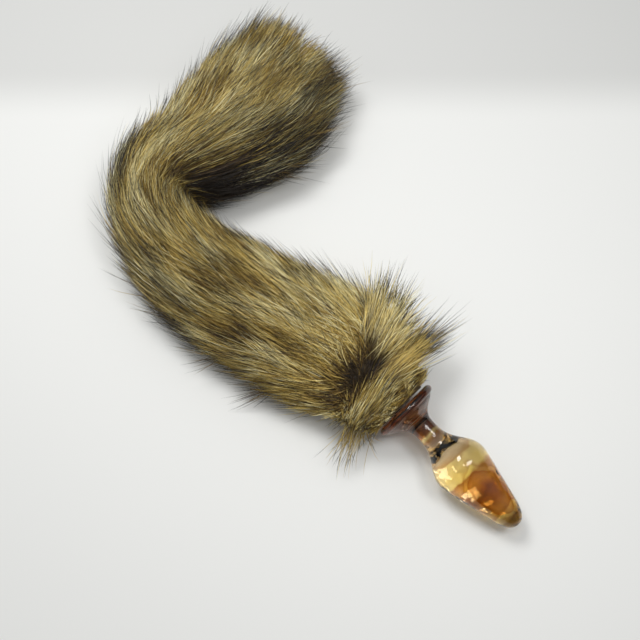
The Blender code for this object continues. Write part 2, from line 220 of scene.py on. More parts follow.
def new_piece(name, points, faces, material, uv=None, smooth=True):
    """A mesh object at the origin from arrays of points and of triangles, with uv per point."""
    mesh = bpy.data.meshes.new(name)
    count = len(faces)
    mesh.vertices.add(len(points))
    mesh.vertices.foreach_set("co", np.ascontiguousarray(points, np.float32).ravel())
    mesh.loops.add(3 * count)
    mesh.loops.foreach_set("vertex_index", np.ascontiguousarray(faces, np.int32).ravel())
    mesh.polygons.add(count)
    mesh.polygons.foreach_set("loop_start", np.arange(0, 3 * count, 3, dtype=np.int32))
    mesh.polygons.foreach_set("loop_total", np.full(count, 3, np.int32))
    mesh.polygons.foreach_set("use_smooth", np.full(count, smooth))
    if uv is not None:
        layer = mesh.uv_layers.new(name="OFBake")
        layer.data.foreach_set("uv", np.ascontiguousarray(uv[faces.ravel()], np.float32).ravel())
    mesh.update(calc_edges=True)
    mesh.validate()
    mesh.materials.append(material)
    obj = bpy.data.objects.new(name, mesh)
    bpy.context.scene.collection.objects.link(obj)
    return obj


def tube_faces(rings, sides):
    """Triangles of a closed tube: point i of ring k is k * sides + i, and two poles come last."""
    ring, side = np.meshgrid(np.arange(rings - 1), np.arange(sides), indexing="ij")
    a = (ring * sides + side).ravel()
    b = (ring * sides + (side + 1) % sides).ravel()
    walls = np.concatenate([np.stack([a, b, b + sides], 1), np.stack([a, b + sides, a + sides], 1)])
    around = np.arange(sides)
    beside = (around + 1) % sides
    start = np.stack([beside, around, np.full(sides, rings * sides)], 1)
    last = (rings - 1) * sides
    end = np.stack([last + around, last + beside, np.full(sides, rings * sides + 1)], 1)
    return np.concatenate([walls, start, end])


def tube(rings):
    """Points and outward triangles of a closed tube through an array of rings (ring, side, 3)."""
    count, sides = rings.shape[:2]
    poles = np.stack([rings[0].mean(0), rings[-1].mean(0)])
    points = np.concatenate([rings.reshape(-1, 3), poles])
    return points, outward(points, tube_faces(count, sides))


# The tail's middle line


class TailLine:
    """The tail's middle line and its pile's reach, as arrays over the share of the length.

    Small steps in the direction of the heading are summed to points. The line falls smoothly from
    the plug's axis to its own height over the first SETTLE of the length.
    """

    def __init__(self, sizes):
        self.sizes = sizes
        self.length = sizes.length
        self.shares = np.linspace(0.0, 1.0, STEPS + 1)
        self.right = self.eased("right") * sizes.width / 2
        self.left = self.eased("left") * sizes.width / 2
        self.top = self.eased("top") * (sizes.height - sizes.line_height)
        self.dense = self.eased("dense")
        course = {
            name: np.interp(self.shares, HAIR_COURSE[:, 0], HAIR_COURSE[:, i])
            for i, name in enumerate(HAIR_COLUMNS)
        }
        self.lay = course["lay"] * sizes.pile
        self.sweep = np.radians(course["sweep"])
        self.hair = course["length"]
        self.heading = np.radians(ROOT_HEADING + self.eased("heading"))
        root = plug_origin() - plug_axis() * CLEARANCE
        middle = (self.heading[1:] + self.heading[:-1]) / 2
        step = self.length / STEPS
        self.x = root[0] + np.concatenate([[0.0], np.cumsum(np.cos(middle) * step)])
        self.y = root[1] + np.concatenate([[0.0], np.cumsum(np.sin(middle) * step)])
        settled = np.clip(self.shares / SETTLE, 0.0, 1.0)
        ease = settled * settled * (3 - 2 * settled)
        leaving = root[2] + self.shares * self.length * math.tan(plug_tilt())
        self.z = leaving * (1 - ease) + sizes.line_height * ease
        self.turn = np.gradient(self.heading, self.shares) / self.length

    def eased(self, column):
        """A column of the table, linear between rows and then averaged over EASING."""
        place = COLUMNS.index(column)
        values = np.interp(self.shares, SECTIONS[:, 0], SECTIONS[:, place])
        width = max(1, round(EASING * STEPS))
        padded = np.concatenate([np.full(width, values[0]), values, np.full(width, values[-1])])
        kernel = np.hanning(2 * width + 3)[1:-1]
        return np.convolve(padded, kernel / kernel.sum(), mode="valid")

    def at(self, values, share):
        return np.interp(share, self.shares, values)

    def sideways(self, share, angle, reach):
        """How far right of the line: the cosine of the angle, times that side's width."""
        width = np.where(np.cos(angle) > 0, self.at(self.right, share), self.at(self.left, share))
        return np.cos(angle) * width * reach

    def place(self, share, angle, reach):
        """The point at a share of the length, an angle round the line and a share of the reach.

        Inside a bend the offset x is eased to x / (1 + (x / limit)^4)^(1/4). Below the table's
        level, heights are pressed up to a smooth least height.
        """
        inside = np.clip(share, 0.0, 1.0)
        heading = self.at(self.heading, inside)
        beyond = (share - inside) * self.length
        offset = self.sideways(inside, angle, reach)
        turn = self.at(self.turn, inside)
        limit = INNER_LIMIT / np.maximum(np.abs(turn), 1e-6)
        held = offset / (1 + (np.abs(offset) / limit) ** 4) ** 0.25
        offset = np.where(offset * turn < 0, held, offset)
        x = self.at(self.x, inside) + np.cos(heading) * beyond + np.sin(heading) * offset
        y = self.at(self.y, inside) + np.sin(heading) * beyond - np.cos(heading) * offset
        z = self.at(self.z, inside) + np.sin(angle) * self.at(self.top, inside) * reach
        z = TABLE_GAP + PRESSED * np.logaddexp(0.0, (z - TABLE_GAP) / PRESSED)
        return np.stack([x, y, z], -1)

    def run(self, share, angle, reach, distance):
        """The share reached by a hair that goes this distance along its own side of the tail."""
        inside = np.clip(share, 0.0, 1.0)
        offset = self.sideways(inside, angle, reach)
        stretch = np.maximum(SHORTEST_RUN, 1 + self.at(self.turn, inside) * offset)
        return share + distance / (self.length * stretch)


def plug_tilt():
    """The plug's slope: the angle at which its flange rim and its bulb both touch the table."""
    return math.atan2(FLANGE_RADIUS - BULB_RADIUS, BULB_PLACE - RIM_THICKNESS / 2)


def plug_axis():
    """The plug's direction, from the flange towards the nose."""
    heading, tilt = math.radians(ROOT_HEADING - 180), plug_tilt()
    return np.array(
        (math.cos(heading) * math.cos(tilt), math.sin(heading) * math.cos(tilt), -math.sin(tilt))
    )


def plug_origin():
    """The middle of the flange's back face, found from the hidden post's box."""
    low, high = (np.array(corner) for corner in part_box("tail_post"))
    return (low + high) / 2 + plug_axis() * (POST_LENGTH / 2 + CLEARANCE)


# Fur


def streaks(share, angle, seed):
    """Smooth noise from -1 to 1 over the pile: a mean of sine waves long along it, short across."""
    chance = np.random.default_rng(seed)
    total = np.zeros(np.broadcast(share, angle).shape)
    for _ in range(9):
        along = chance.uniform(8, 46)
        across = chance.uniform(-7, 7)
        total += np.sin(share * along + angle * across + chance.uniform(0, 2 * math.pi))
    return total / 4.2


# Patches: share, its spread, angle in degrees, its spread, and how much paler or darker. The dark
# rows at shares 0.575 to 0.672 on the right are the crook: its own dark fur with painted shade of the
# bend.
TONES_AND_CROOK_SHADE = (
    (0.076, 0.023, 106, 30, -1.05),
    (0.018, 0.012, 90, 150, -0.20),
    (0.120, 0.030, 150, 30, -0.12),
    (0.050, 0.016, 90, 60, 0.10),
    (0.165, 0.060, 25, 40, 0.10),
    # The crook: dark fur with painted shade of the bend, in this row and the next two
    (0.575, 0.050, -8, 58, -1.50),
    (0.632, 0.034, 22, 28, -0.90),
    (0.672, 0.036, 50, 15, -0.40),
    (0.725, 0.060, 0, 34, 0.18),
    (0.560, 0.100, 150, 60, 0.04),
    (0.720, 0.080, 100, 24, 0.06),
    (0.850, 0.060, 60, 40, 0.08),
    (1.000, 0.060, 90, 200, -0.18),
    (0.460, 0.120, -22, 24, -0.34),
    (0.300, 0.140, 212, 26, -0.26),
    (0.235, 0.030, 130, 24, -0.30),
    (0.180, 0.030, 105, 16, -0.22),
    (0.300, 0.060, 95, 30, -0.14),
    (0.340, 0.030, 50, 20, -0.24),
    (0.430, 0.024, 110, 20, -0.20),
    (0.780, 0.026, 60, 20, -0.20),
)


def bump(value, centre, spread):
    return np.exp(-(((value - centre) / spread) ** 2))


def tone(share, angle):
    """How pale the pile is here, 0 to 1: streaks, then the dark and the pale patches in the table.
    The crook's patches are its dark fur with painted shade of the bend.
    """
    tones = 0.73 + 0.19 * streaks(share, angle, 5)
    for place, spread, middle, across, amount in TONES_AND_CROOK_SHADE:
        beside = bump(angle, math.radians(middle), math.radians(across))
        tones += amount * bump(share, place, spread) * beside
    return tones


def strand_points(centres, radii, spin):
    """Closed three-sided strands: rings round each centre but the last, which is the tip.

    Each ring lies across its strand's direction, from the difference of the neighbouring centres.
    """
    count, stations = centres.shape[:2]
    before = np.concatenate([centres[:, :1], centres[:, :-1]], 1)[:, : stations - 1]
    ahead = centres[:, 1:]
    tangent = ahead - before
    tangent /= np.linalg.norm(tangent, axis=-1, keepdims=True) + 1e-12
    side = np.cross(tangent, spin[:, None, :])
    side /= np.linalg.norm(side, axis=-1, keepdims=True) + 1e-12
    rise = np.cross(tangent, side)
    rings = []
    for k in range(3):
        turn = 2 * math.pi * k / 3
        rings.append(side * math.cos(turn) + rise * math.sin(turn))
    rings = np.stack(rings, 2) * radii[:, : stations - 1, None, None]
    rings = rings + centres[:, : stations - 1, None, :]
    return np.concatenate([rings.reshape(count, -1, 3), centres[:, -1:, :]], 1)


def strand_faces(stations):
    """Triangles of one strand: three walls between rings, the tip's three faces and the root's cap."""
    faces = []
    for ring in range(stations - 2):
        for k in range(3):
            a, b = ring * 3 + k, ring * 3 + (k + 1) % 3
            faces += [(a, b, b + 3), (a, b + 3, a + 3)]
    last = (stations - 2) * 3
    tip = (stations - 1) * 3
    faces += [(last + k, last + (k + 1) % 3, tip) for k in range(3)]
    faces.append((2, 1, 0))
    return np.array(faces)


def clear_of_flange(points):
    """Points that would lie in the glass flange, moved back along its axis behind its back face."""
    axis, origin = plug_axis(), plug_origin()
    along = (points - origin) @ axis
    aside = np.linalg.norm(points - origin - along[..., None] * axis, axis=-1)
    inside = (aside < FLANGE_RADIUS + 1.5 * FLANGE_GAP) & (along > -FLANGE_GAP)
    back = np.where(inside, -FLANGE_GAP - along, 0.0)
    return points + back[..., None] * axis


def grow(line, chance, count, zone, style):
    """Centres of count strands at every station, with a tint each.

    A guide has a root share and angle, a length and a tint. A strand starts at its own offset from
    its guide and gathers towards it: offset * (1 - pull * s). Its reach rises from the underfur
    to the outside as s^rise. Towards the tail's end the roots fill the whole cross-section.
    """
    stations = np.array(style["stations"])
    first, last = zone
    guides = max(12, round(count / style["per_guide"]))
    guide_share = chance.uniform(first, last, guides)
    guide_angle = chance.uniform(math.radians(-40), math.radians(220), guides)
    guide_scale = chance.uniform(*style["scale"], guides)
    swirl = 10 * streaks(guide_share * 0.7, guide_angle, 17)
    guide_twist = np.radians(chance.normal(0, style["twist"], guides) + swirl)
    guide_tint = chance.normal(0, style["tint_spread"], guides)
    own = chance.integers(0, guides, count)
    share_off = chance.normal(0, style["spread"] / line.length, count)
    angle_off = chance.normal(0, style["spread"] / SPREAD_RADIUS, count)
    pull = style["pull"] * chance.uniform(0.6, 1.15, count)
    scale = guide_scale[own] * chance.uniform(0.86, 1.06, count)
    lay_scale = chance.normal(1.0, style["lay_spread"], count) * guide_scale[own]
    share = np.clip(guide_share[own] + share_off, 0.004, 0.985)
    share_s = share[:, None] - share_off[:, None] * pull[:, None] * stations
    angle = guide_angle[own] + angle_off
    twist = guide_twist[own] + np.radians(chance.normal(0, style["wander"], count))
    twist = twist + line.at(line.sweep, share) * np.clip((np.degrees(angle) - 5) / 95, 0.0, 1.0)
    angle_s = guide_angle[own][:, None] + angle_off[:, None] * (1 - pull[:, None] * stations)
    angle_s = angle_s + twist[:, None] * stations
    scale = scale * line.at(line.hair, share)
    capped = np.clip((share - 0.90) / 0.07, 0.0, 1.0)
    fill = 1 - capped * (1 - np.sqrt(chance.uniform(0.0, 1.0, count)))
    root = line.at(line.dense, share) * style["root"] * fill
    tip = scale * (1 - 0.75 * (1 - fill))
    reach = root[:, None] + (tip - root)[:, None] * stations ** style["rise"]
    distance = (line.at(line.lay, share) * lay_scale)[:, None] * stations
    distance = distance * (1 + 0.22 * capped * (1 - fill))[:, None]
    along = line.run(share_s, angle_s, reach, distance)
    past = np.maximum(along - END_FROM, 0.0)
    along = np.where(past > 0, END_FROM + END_EASE * (1 - np.exp(-past / END_EASE)), along)
    past = np.clip((along - END_FROM) / END_ROUND, 0.0, 0.95)
    centres = line.place(along, angle_s, reach * np.sqrt(1 - past**2))
    drift = chance.normal(0, style["drift"], (count, 1, 3)) * stations[None, :, None] ** 2
    centres = centres + drift
    centres[..., 2] = np.maximum(centres[..., 2], TABLE_GAP)
    tint = tone(share, angle) + guide_tint[own] + style["tint"]
    tint = tint + chance.normal(0, style["tint_noise"], count)
    tint = np.where(chance.random(count) < style["dark"], tint * 0.35, tint)
    return clear_of_flange(centres), np.clip(tint, 0.02, 0.97)


PILE = {
    "stations": (0.0, 0.32, 0.66, 1.0),
    "profile": (0.8, 1.0, 0.75, 0.0),
    "per_guide": 26,
    "scale": (0.78, 1.03),
    "twist": 8.0,
    "wander": 3.5,
    "lay_spread": 0.10,
    "tint_spread": 0.16,
    "tint_noise": 0.10,
    "tint": 0.0,
    "dark": 0.10,
    "spread": 0.0040,
    "pull": 0.82,
    "root": 0.86,
    "rise": 0.72,
    "drift": 0.0008,
    "black_tips": 0.16,
    "plain_top": 0.78,
}
BRUSH_PILE = {**PILE, "black_tips": 0.55, "plain_top": 0.82}
GUARD = {
    "stations": (0.0, 0.25, 0.5, 0.76, 1.0),
    "profile": (0.6, 0.8, 0.8, 0.6, 0.0),
    "per_guide": 6,
    "scale": (0.98, 1.20),
    "twist": 10.0,
    "wander": 6.0,
    "lay_spread": 0.14,
    "tint_spread": 0.08,
    "tint_noise": 0.08,
    "tint": 0.0,
    "dark": 0.14,
    "spread": 0.0034,
    "pull": 0.65,
    "root": 0.90,
    "rise": 1.0,
    "drift": 0.0016,
    "black_tips": 0.85,
    "plain_top": 0.54,
}


def strands(centres, tint, chance, style, thickness):
    """Points, triangles and uv of strands: u is the tint and v runs from root to tip."""
    count = len(centres)
    stations = np.array(style["stations"])
    width = thickness / 2 * chance.uniform(0.7, 1.25, count)
    radii = np.array(style["profile"])[None, :] * width[:, None]
    points = strand_points(centres, radii, chance.normal(size=(count, 3)))
    each = points.shape[1]
    template = strand_faces(len(stations))
    faces = (np.arange(count)[:, None, None] * each + template[None]).reshape(-1, 3)
    top = np.where(chance.random(count) < style["black_tips"], 1.0, style["plain_top"])
    v = np.repeat(stations[:-1], 3)[None, :] * top[:, None]
    v = np.concatenate([v, top[:, None]], 1)
    v[:, 1] += 0.012
    u = tint[:, None] + np.concatenate([np.tile((0.0, 0.004, 0.008), len(stations) - 1), [0.004]])
    uv = np.stack([u, v], -1).reshape(-1, 2)
    return points.reshape(-1, 3), faces, np.clip(uv, 0.0, 1.0)


def fur_mesh(line, seed, count, zone, style, thickness):
    """Points, triangles and uv of a zone's strands."""
    chance = np.random.default_rng(seed)
    centres, tint = grow(line, chance, count, zone, style)
    return strands(centres, tint, chance, style, thickness)


# Tufts that stand apart from the pile, each a curve from its root in the pile over a lifted handle
# to its tip: root share, root angle in degrees, tip share, tip's distance to the right, tip's
# height, the handle's lift, hairs, tint
TUFTS = (
    (0.058, 100, 0.026, 0.0580, 0.024, 0.022, 230, 0.62),
    (0.050, 70, 0.040, 0.0430, 0.026, 0.016, 150, 0.70),
    (0.078, 75, 0.062, 0.0480, 0.034, 0.018, 170, 0.78),
    (0.090, 70, 0.098, 0.0580, 0.034, 0.016, 200, 0.84),
    (0.110, 70, 0.150, 0.0620, 0.030, 0.014, 200, 0.82),
    (0.060, 165, 0.030, -0.0480, 0.006, 0.008, 34, 0.60),
    (0.040, 175, 0.002, -0.0480, 0.003, 0.006, 22, 0.60),
    (0.035, 185, -0.004, -0.0280, 0.003, 0.005, 22, 0.62),
    (0.460, 172, 0.560, -0.0400, 0.010, 0.004, 24, 0.30),
    (0.500, 168, 0.610, -0.0390, 0.014, 0.004, 22, 0.30),
    (0.400, 176, 0.490, -0.0400, 0.005, 0.003, 20, 0.30),
    (0.300, 176, 0.380, -0.0430, 0.005, 0.004, 26, 0.30),
    (0.200, 178, 0.270, -0.0490, 0.005, 0.004, 26, 0.30),
    (0.870, 24, 0.975, 0.0510, 0.020, 0.006, 70, 0.35),
    (0.940, 60, 1.075, 0.0260, 0.030, 0.006, 80, 0.35),
    (0.920, 130, 1.030, -0.0380, 0.024, 0.004, 70, 0.30),
    (0.800, 14, 0.890, 0.0560, 0.014, 0.004, 60, 0.35),
)
TUFT = {
    "stations": (0.0, 0.25, 0.5, 0.76, 1.0),
    "profile": (0.7, 0.9, 0.8, 0.6, 0.0),
    "root_spread": 0.0030,
    "tip_spread": 0.0058,
    "black_tips": 0.6,
    "plain_top": 0.55,
}


def tuft_mesh(line, seed, thickness):
    """Strands of every tuft on curves (1-s)^2 root + 2s(1-s) handle + s^2 tip, with their uv."""
    chance = np.random.default_rng(seed)
    counts = np.array([row[6] for row in TUFTS])
    rows = np.repeat(np.array(TUFTS), counts, axis=0)
    count = len(rows)
    share, angle, tip_share, right, height, lift, _, tint = rows.T
    angle = np.radians(angle)
    share = share + chance.normal(0, TUFT["root_spread"] / line.length, count)
    angle = angle + chance.normal(0, TUFT["root_spread"] / SPREAD_RADIUS, count)
    root = line.place(share, angle, line.at(line.dense, share) * 0.9)
    outside = line.place(share, angle, line.at(line.dense, share) * 1.3)
    outward_way = outside - root
    outward_way /= np.linalg.norm(outward_way, axis=1, keepdims=True)
    heading = line.at(line.heading, np.clip(tip_share, 0, 1))
    level = line.place(tip_share, np.full(count, math.pi / 2), np.full(count, 0.5))
    tip = level + right[:, None] * np.stack([np.sin(heading), -np.cos(heading), np.zeros(count)], 1)
    tip[:, 2] = height
    length = chance.uniform(0.72, 1.04, count)[:, None]
    tip = root + (tip - root) * length
    tip = tip + chance.normal(0, TUFT["tip_spread"], (count, 3)) * (1.0, 1.0, 0.7)
    handle = root + (tip - root) * 0.45 + outward_way * lift[:, None]
    s = np.array(TUFT["stations"])[None, :, None]
    centres = (1 - s) ** 2 * root[:, None] + 2 * s * (1 - s) * handle[:, None] + s**2 * tip[:, None]
    centres[..., 2] = np.maximum(centres[..., 2], TABLE_GAP)
    tint = np.clip(tint + chance.normal(0, 0.10, count), 0.02, 0.97)
    return strands(clear_of_flange(centres), tint, chance, TUFT, thickness)


# Materials


class Shading:
    """A material's or group's node tree, with short calls to add nodes and to join them."""

    def __init__(self, tree):
        self.tree = tree

    def node(self, kind, settings=None, **inputs):
        made = self.tree.nodes.new(kind)
        for name, value in (settings or {}).items():
            setattr(made, name, value)
        for name, value in inputs.items():
            self.give(value, made.inputs[name])
        return made

    def link(self, source, socket):
        self.tree.links.new(source, socket)

    def give(self, value, socket):
        """Joins a socket to another one, or sets it to a plain value or colour."""
        if isinstance(value, bpy.types.NodeSocket):
            self.link(value, socket)
        else:
            socket.default_value = value

    def math(self, operation, *values):
        made = self.node("ShaderNodeMath", {"operation": operation})
        for value, socket in zip(values, made.inputs):
            self.give(value, socket)
        return made.outputs["Value"]

    def smooth_range(self, value, low, high, at_low=0.0, at_high=1.0):
        """A value carried smoothly from one range to another."""
        made = self.node("ShaderNodeMapRange", {"interpolation_type": "SMOOTHSTEP"}, Value=value)
        for name, limit in zip(("From Min", "From Max", "To Min", "To Max"), (low, high, at_low, at_high)):
            self.give(limit, made.inputs[name])
        return made.outputs["Result"]

    def ramp(self, factor, stops):
        """A colour ramp through (place, colour) stops."""
        made = self.tree.nodes.new("ShaderNodeValToRGB")
        elements = made.color_ramp.elements
        while len(elements) < len(stops):
            elements.new(0.5)
        for element, (place, colour) in zip(elements, stops):
            element.position = place
            element.color = (*colour, 1.0)
        self.link(factor, made.inputs["Fac"])
        return made.outputs["Color"]

    def mix(self, factor, a, b, blend="MIX"):
        """Two colours mixed; a Mix node's colour sockets are its inputs 6 and 7 and its output 2."""
        made = self.node("ShaderNodeMix", {"data_type": "RGBA", "blend_type": blend})
        self.give(factor, made.inputs[0])
        for value, socket in ((a, made.inputs[6]), (b, made.inputs[7])):
            self.give(value if isinstance(value, bpy.types.NodeSocket) else (*value, 1.0), socket)
        return made.outputs[2]


def new_material(name, **constants):
    material = bpy.data.materials.new(name)
    material.use_nodes = True
    shader = material.node_tree.nodes["Principled BSDF"]
    for socket, value in constants.items():
        shader.inputs[socket.replace("_", " ")].default_value = value
    return material, Shading(material.node_tree), shader


def group_node(shading, group, **inputs):
    made = shading.tree.nodes.new("ShaderNodeGroup")
    made.node_tree = group
    for name, value in inputs.items():
        shading.give(value, made.inputs[name])
    return made


HAIR_TINTS = (
    (0.00, (0.014, 0.008, 0.004)),
    (0.20, (0.075, 0.040, 0.010)),
    (0.38, (0.270, 0.165, 0.032)),
    (0.54, (0.520, 0.350, 0.075)),
    (0.70, (0.760, 0.580, 0.175)),
    (0.85, (0.900, 0.780, 0.370)),
    (1.00, (0.960, 0.900, 0.560)),
)


def hair_colour_group():
    """Colour along a hair: root colour, the hair's own tint from a ramp, then its dark tip."""
    tree = bpy.data.node_groups.new("Hair Colour", "ShaderNodeTree")
    interface = tree.interface
    interface.new_socket("Tint", in_out="INPUT", socket_type="NodeSocketFloat")
    interface.new_socket("Along", in_out="INPUT", socket_type="NodeSocketFloat")
    interface.new_socket("Root", in_out="INPUT", socket_type="NodeSocketColor")
    interface.new_socket("Tip", in_out="INPUT", socket_type="NodeSocketColor")
    interface.new_socket("Tip Start", in_out="INPUT", socket_type="NodeSocketFloat")
    interface.new_socket("Tip End", in_out="INPUT", socket_type="NodeSocketFloat")
    interface.new_socket("Color", in_out="OUTPUT", socket_type="NodeSocketColor")
    shading = Shading(tree)
    source = tree.nodes.new("NodeGroupInput")
    result = tree.nodes.new("NodeGroupOutput")
    given = source.outputs
    leaves_root = shading.smooth_range(given["Along"], 0.05, 0.42)
    near_tip = shading.smooth_range(given["Along"], given["Tip Start"], given["Tip End"])
    tint = shading.ramp(given["Tint"], HAIR_TINTS)
    body = shading.mix(leaves_root, given["Root"], tint)
    colour = shading.mix(near_tip, body, given["Tip"])
    shading.link(colour, result.inputs["Color"])
    return tree


def hair_material(name, group, colours, roughness, dark_from, dark_to):
    """Hair: the colour group on the strand's own uv, with a soft gloss."""
    material, shading, shader = new_material(name, Roughness=roughness)
    uv = shading.node("ShaderNodeUVMap", {"uv_map": "OFBake"})
    parts = shading.node("ShaderNodeSeparateXYZ", Vector=uv.outputs["UV"])
    coloured = group_node(
        shading,
        group,
        Tint=parts.outputs["X"],
        Along=parts.outputs["Y"],
        Root=(*colours.root, 1.0),
        Tip=(*colours.tip, 1.0),
        **{"Tip Start": dark_from, "Tip End": dark_to},
    )
    shading.link(coloured.outputs["Color"], shader.inputs["Base Color"])
    return material


def underfur_material(colours):
    """Dense underfur: two greys-browns in fine streaks, with a fine bump."""
    material, shading, shader = new_material("underfur", Roughness=0.92)
    place = shading.node("ShaderNodeTexCoord")
    fine = shading.node("ShaderNodeTexNoise", Vector=place.outputs["Object"])
    fine.inputs["Scale"].default_value = 900.0
    fine.inputs["Detail"].default_value = 4.0
    broad = shading.node("ShaderNodeTexNoise", Vector=place.outputs["Object"])
    broad.inputs["Scale"].default_value = 90.0
    dark = tuple(0.45 * c for c in colours.root)
    colour = shading.ramp(fine.outputs["Fac"], ((0.30, dark), (0.72, tuple(colours.root))))
    colour = shading.mix(broad.outputs["Fac"], colour, dark)
    shading.link(colour, shader.inputs["Base Color"])
    relief = shading.node("ShaderNodeBump", Height=fine.outputs["Fac"])
    relief.inputs["Strength"].default_value = 0.6
    relief.inputs["Distance"].default_value = 0.0008
    shading.link(relief.outputs["Normal"], shader.inputs["Normal"])
    return material


# Operators


def sizes_of(context):
    return context.scene.tail_sizes


class MakeUnderfur(bpy.types.Operator):
    """Makes the closed body of backing and dense underfur"""

    bl_idname = "costume_tail.make_underfur"
    bl_label = "Underfur"

    def execute(self, context):
        line = TailLine(sizes_of(context))
        share, angle = np.meshgrid(
            np.linspace(0.0, 1.0, 150), np.linspace(0, 2 * math.pi, 56, endpoint=False), indexing="ij"
        )
        closing = np.clip((share - 0.90) / 0.102, 0.0, 0.999)
        rough = 1 + 0.03 * streaks(share * 5, np.sin(angle) * 3, 3)
        reach = line.at(line.dense, share) * np.sqrt(1 - closing**2) * 0.90 * rough
        points, faces = tube(clear_of_flange(line.place(share, angle, reach)))
        piece = new_piece("underfur", points, faces, underfur_material(context.scene.tail_colours))
        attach(piece, "root")
        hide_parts("fur_tail")
        return {"FINISHED"}


class MakePile(bpy.types.Operator):
    """Makes the pile's strands, one piece for each zone of the tail"""

    bl_idname = "costume_tail.make_pile"
    bl_label = "Pile"

    def execute(self, context):
        sizes = sizes_of(context)
        line = TailLine(sizes)
        group = hair_colour_group()
        material = hair_material("pile_hair", group, context.scene.tail_colours, 0.50, 0.76, 0.97)
        weights = {name: last - first for name, (first, last) in ZONES.items()}
        weights["ruff_fur"] *= RUFF_DENSITY
        total = sum(weights.values())
        for number, (name, zone) in enumerate(ZONES.items()):
            count = round(sizes.strands * weights[name] / total)
            style = BRUSH_PILE if name == "brush_fur" else PILE
            points, faces, uv = fur_mesh(line, 100 + number, count, zone, style, sizes.strand)
            piece = new_piece(name, points, faces, material, uv)
            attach(piece, "root")
        return {"FINISHED"}


class MakeGuardHairs(bpy.types.Operator):
    """Makes the long dark hairs that stand out over the pile"""

    bl_idname = "costume_tail.make_guard_hairs"
    bl_label = "Guard hairs"

    def execute(self, context):
        sizes = sizes_of(context)
        line = TailLine(sizes)
        group = bpy.data.node_groups["Hair Colour"]
        material = hair_material("guard_hair", group, context.scene.tail_colours, 0.45, 0.52, 0.74)
        zone = (ZONES["ruff_fur"][0], ZONES["brush_fur"][1])
        points, faces, uv = fur_mesh(line, 7, sizes.guards, zone, GUARD, sizes.strand * 0.74)
        piece = new_piece("guard_hairs", points, faces, material, uv)
        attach(piece, "root")
        points, faces, uv = tuft_mesh(line, 23, sizes.strand * 0.9)
        piece = new_piece("tufts", points, faces, material, uv)
        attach(piece, "root")
        return {"FINISHED"}


def bezier(points, count):
    """Points on a cubic curve: the four handles weighted by the Bernstein cubics of t."""
    t = np.linspace(0, 1, count)[:, None]
    a, b, c, d = (np.array(p) for p in points)
    return (1 - t) ** 3 * a + 3 * (1 - t) ** 2 * t * b + 3 * (1 - t) * t**2 * c + t**3 * d


def plug_profile():
    """(distance along the axis, radius) from the back face's middle round to the nose's tip."""
    edge, flange, bulb = RIM_THICKNESS / 2, FLANGE_RADIUS, BULB_RADIUS
    neck, nose = 0.0066, 0.0089
    neck_start, neck_end, nose_start, length = 0.0170, 0.0225, 0.0820, PLUG_LENGTH
    flare, shoulder = neck_start - RIM_THICKNESS, BULB_PLACE - neck_end
    turn = np.radians(np.linspace(180, 0, 25))[:, None]
    rim = np.concatenate([edge + edge * np.cos(turn), flange - edge + edge * np.sin(turn)], 1)
    face = np.stack([np.zeros(8), np.linspace(0.0, flange - edge, 9)[:-1]], 1)
    front = bezier(
        (
            (RIM_THICKNESS, flange - edge),
            (RIM_THICKNESS + flare * 0.30, flange - edge - (flange - neck) * 0.22),
            (neck_start - flare * 0.62, neck),
            (neck_start, neck),
        ),
        30,
    )
    waist = np.stack([np.linspace(neck_start, neck_end, 6), np.full(6, neck)], 1)
    rise = bezier(
        (
            (neck_end, neck),
            (neck_end + shoulder * 0.44, neck + (bulb - neck) * 0.06),
            (BULB_PLACE - shoulder * 0.42, bulb),
            (BULB_PLACE, bulb),
        ),
        34,
    )
    slope = (nose - bulb) / (nose_start - BULB_PLACE)
    over = shoulder * 0.14
    taper = bezier(
        (
            (BULB_PLACE, bulb),
            (BULB_PLACE + over, bulb + slope * over * 0.4),
            (BULB_PLACE + over * 2.4, bulb + slope * over * 2.2),
            (nose_start, nose),
        ),
        34,
    )
    tip = bezier(
        (
            (nose_start, nose),
            (nose_start + 0.0052, nose * 0.80),
            (length, nose * 0.58),
            (length, 0.0),
        ),
        26,
    )
    return np.concatenate([face, rim, front[1:], waist[1:], rise[1:], taper[1:], tip[1:]])


def turned(profile, sides):
    """Points and triangles of a profile turned about the plug's axis, with a pole at each end."""
    axis, origin = plug_axis(), plug_origin()
    across = np.cross(axis, (0.0, 0.0, 1.0))
    across /= np.linalg.norm(across)
    up = np.cross(across, axis)
    angle = np.linspace(0, 2 * math.pi, sides, endpoint=False)
    spoke = np.cos(angle)[:, None] * across + np.sin(angle)[:, None] * up
    rings = profile[1:-1]
    points = origin + rings[:, 0, None, None] * axis + rings[:, 1, None, None] * spoke[None]
    return tube(points)


# The glass's tints along the plug, from the flange to the nose, as shares of its length. Over the amber
# they hold painted shade and light: dark at the flange, the neck and the nose for the fur and the shade
# seen through the glass, and a painted highlight on the neck's ring.
GLASS_TINTS_AND_PAINTED_SHADE_AND_LIGHT = (
    (0.00, (0.20, 0.05, 0.02)),
    (0.05, (0.34, 0.12, 0.06)),
    (0.12, (0.84, 0.60, 0.42)),
    (0.165, (0.10, 0.03, 0.01)),
    (0.225, (0.22, 0.08, 0.02)),
    (0.24, (1.0, 0.86, 0.42)),
    (0.26, (0.40, 0.20, 0.06)),
    (0.38, (1.0, 0.98, 0.96)),
    (0.88, (1.0, 0.93, 0.80)),
    (0.93, (0.34, 0.24, 0.08)),
)
